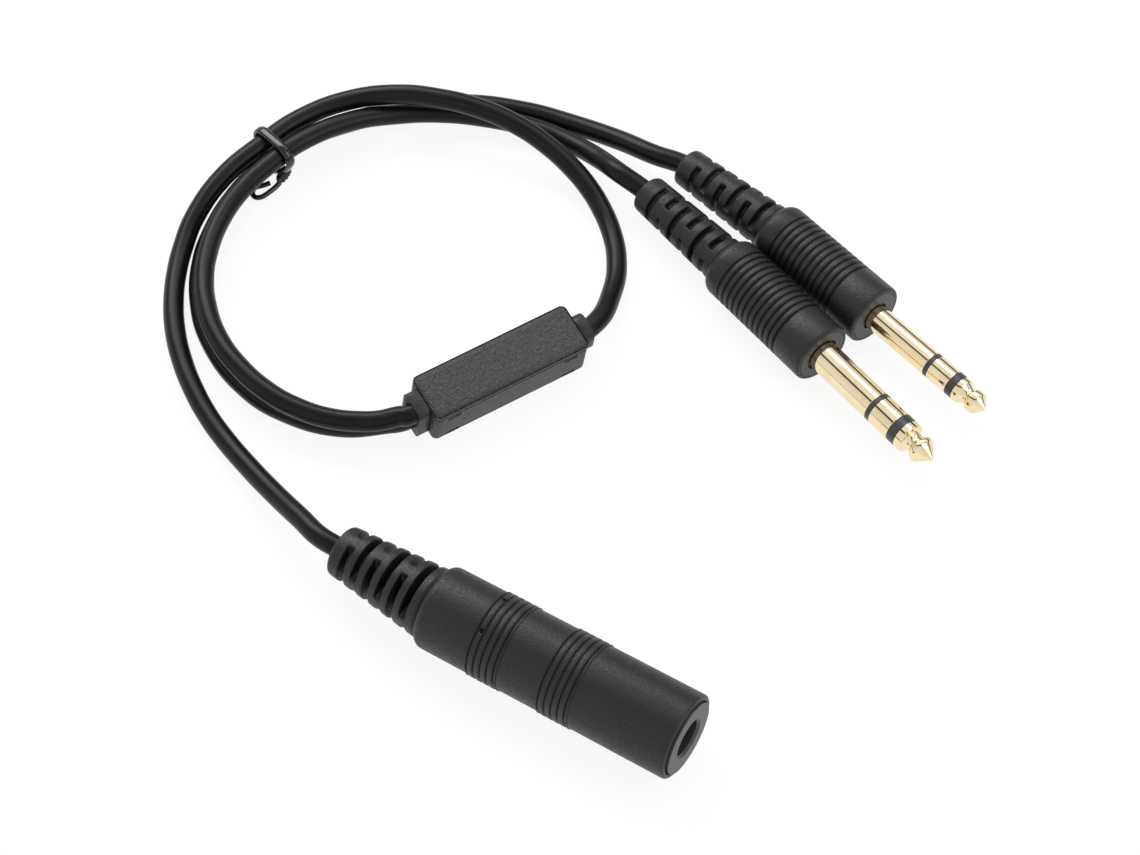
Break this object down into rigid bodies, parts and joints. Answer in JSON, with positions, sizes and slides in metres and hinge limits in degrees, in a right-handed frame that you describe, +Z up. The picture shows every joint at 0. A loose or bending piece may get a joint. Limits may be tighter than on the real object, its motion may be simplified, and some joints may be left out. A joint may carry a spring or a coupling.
{
  "type": "headset adapter cable",
  "caption": "Adapter cable for an aviation headset: an in-line socket joined by round cords and a small matching box to a pair of gold-plated plugs, gathered by a twist tie.",
  "frame": {"origin": "centre of the socket's outline, on the table it lies on", "axes": "+X along the socket's bore, out of its mouth; +Z up from the table"},
  "size_m": [0.1583, 0.127, 0.017],
  "materials": {
    "grip_pvc": "soft moulded vinyl, fine matt grain",
    "insert_abs": "smooth moulded plastic, satin",
    "box_abs": "moulded plastic, spark-eroded leathery grain",
    "collar_pvc": "soft moulded vinyl, matt",
    "cord_pvc": "extruded vinyl jacket, satin",
    "tie_pvc": "vinyl-coated wire, glossy",
    "gold_plating": "polished gold plating",
    "contact_plating": "bright plated spring metal",
    "band_nylon": "satin moulded plastic",
    "core_pvc": "coloured core insulation",
    "board_laminate": "lacquered laminate",
    "core_steel": "stacked plates",
    "copper_winding": "enamelled wire",
    "capacitor_film": "glossy sleeve",
    "resistor_body": "lacquered body"
  },
  "bodies": {
    "lead": {"socket_shell": "grip_pvc", "socket_boot": "grip_pvc", "socket_insert": "insert_abs", "solder_lugs": "contact_plating", "socket_clamp": "contact_plating", "socket_wires": "core_pvc", "box_cover": "box_abs", "box_base": "box_abs", "main_collar": "collar_pvc", "twin_collar": "collar_pvc", "circuit_board": "board_laminate", "transformer_core": "core_steel", "transformer_coil": "copper_winding", "capacitor": "capacitor_film", "resistors": "resistor_body", "box_wires": "core_pvc", "main_cord": "cord_pvc", "front_plug_cord": "cord_pvc", "rear_plug_cord": "cord_pvc", "twist_tie": "tie_pvc", "front_barrel": "grip_pvc", "front_boot": "grip_pvc", "front_nose": "insert_abs", "front_sleeve": "gold_plating", "front_ring": "gold_plating", "front_tip": "gold_plating", "front_ring_insulator": "band_nylon", "front_tip_insulator": "band_nylon", "front_terminals": "contact_plating", "front_clamp": "contact_plating", "front_wires": "core_pvc", "rear_barrel": "grip_pvc", "rear_boot": "grip_pvc", "rear_nose": "insert_abs", "rear_sleeve": "gold_plating", "rear_ring": "gold_plating", "rear_tip": "gold_plating", "rear_ring_insulator": "band_nylon", "rear_tip_insulator": "band_nylon", "rear_terminals": "contact_plating", "rear_clamp": "contact_plating", "rear_wires": "core_pvc"},
    "sleeve_leaf": {"sleeve_contact": "contact_plating"},
    "second_ring_leaf": {"second_ring_contact": "contact_plating"},
    "first_ring_leaf": {"first_ring_contact": "contact_plating"},
    "tip_leaf": {"tip_contact": "contact_plating"}
  },
  "joints": [
    {"name": "sleeve_contact_flex", "type": "hinge", "parent": "lead", "child": "sleeve_leaf", "pos_m": [0.016, 0, 0.00351], "axis": [0, 1, 0], "range_deg": [0, 3], "stiffness_Nm_per_rad": 0.2},
    {"name": "second_ring_contact_flex", "type": "hinge", "parent": "lead", "child": "second_ring_leaf", "pos_m": [0.0095, 0.005, 0.00851], "axis": [0, 0, 1], "range_deg": [0, 3], "stiffness_Nm_per_rad": 0.2},
    {"name": "first_ring_contact_flex", "type": "hinge", "parent": "lead", "child": "first_ring_leaf", "pos_m": [0.003, 0, 0.01351], "axis": [0, -1, 0], "range_deg": [0, 3], "stiffness_Nm_per_rad": 0.2},
    {"name": "tip_contact_flex", "type": "hinge", "parent": "lead", "child": "tip_leaf", "pos_m": [-0.004, -0.005, 0.00851], "axis": [0, 0, -1], "range_deg": [0, 3], "stiffness_Nm_per_rad": 0.2}
  ]
}
